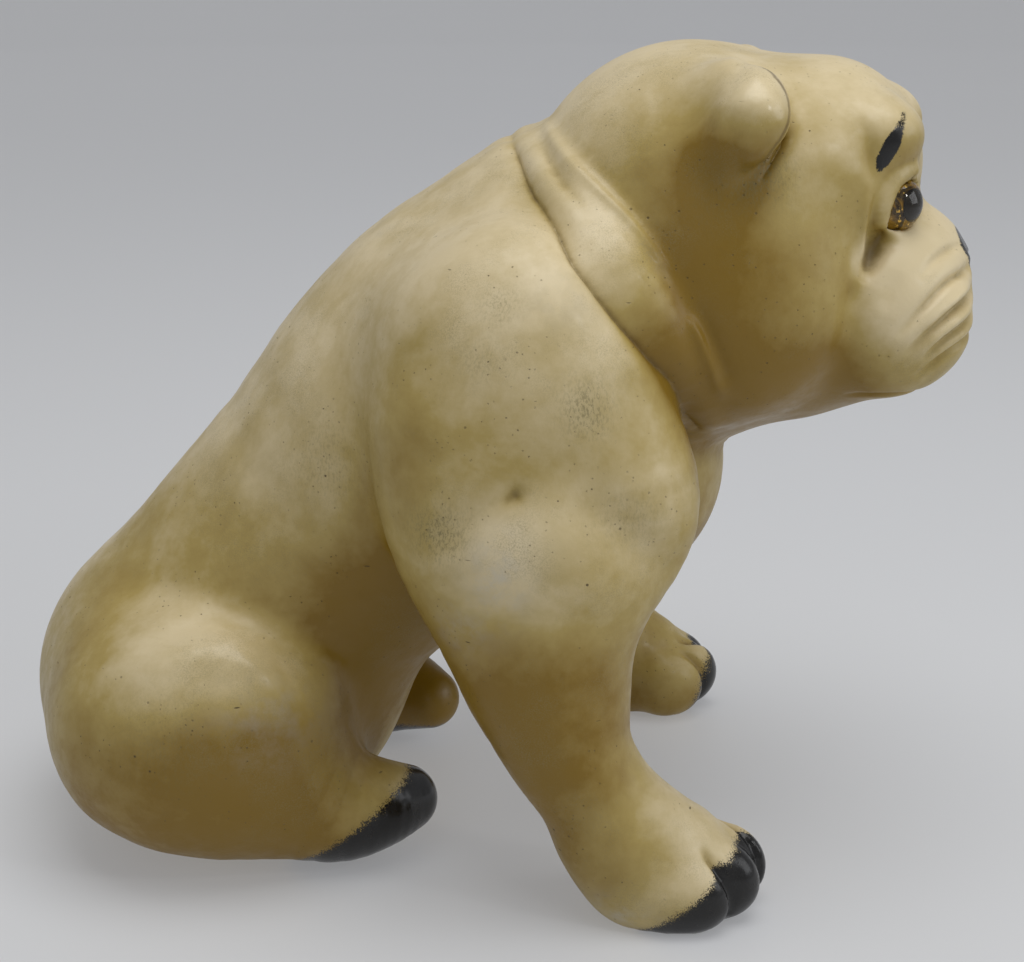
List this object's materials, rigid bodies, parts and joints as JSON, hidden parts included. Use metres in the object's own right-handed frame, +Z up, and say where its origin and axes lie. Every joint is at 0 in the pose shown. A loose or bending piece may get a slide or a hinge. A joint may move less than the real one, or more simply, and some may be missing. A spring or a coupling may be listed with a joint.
{
  "type": "ceramic dog figurine",
  "caption": "Seated bulldog figurine: a hollow cream-painted ceramic shell with glass eyes set in plaster, resting on its rump and four feet.",
  "frame": {"origin": "centre of the bounding box's bottom face, on the surface that the dog sits on", "axes": "+X where the dog faces, +Y its left side, +Z up"},
  "size_m": [0.3034, 0.2072, 0.2537],
  "materials": {
    "cream_paint": "chalky cream cold paint with airbrushed ochre shading and black toes over fired clay",
    "clear_glass": "clear polished glass dome",
    "amber_enamel": "opaque amber enamel behind the dome",
    "black_glass": "black glass pupil",
    "plaster": "dry white plaster bed in the eye socket"
  },
  "bodies": {
    "root": {"dog_body": "cream_paint", "eye_glass_left": "clear_glass", "eye_iris_left": "amber_enamel", "eye_pupil_left": "black_glass", "eye_bed_left": "plaster", "eye_glass_right": "clear_glass", "eye_iris_right": "amber_enamel", "eye_pupil_right": "black_glass", "eye_bed_right": "plaster"}
  },
  "joints": []
}
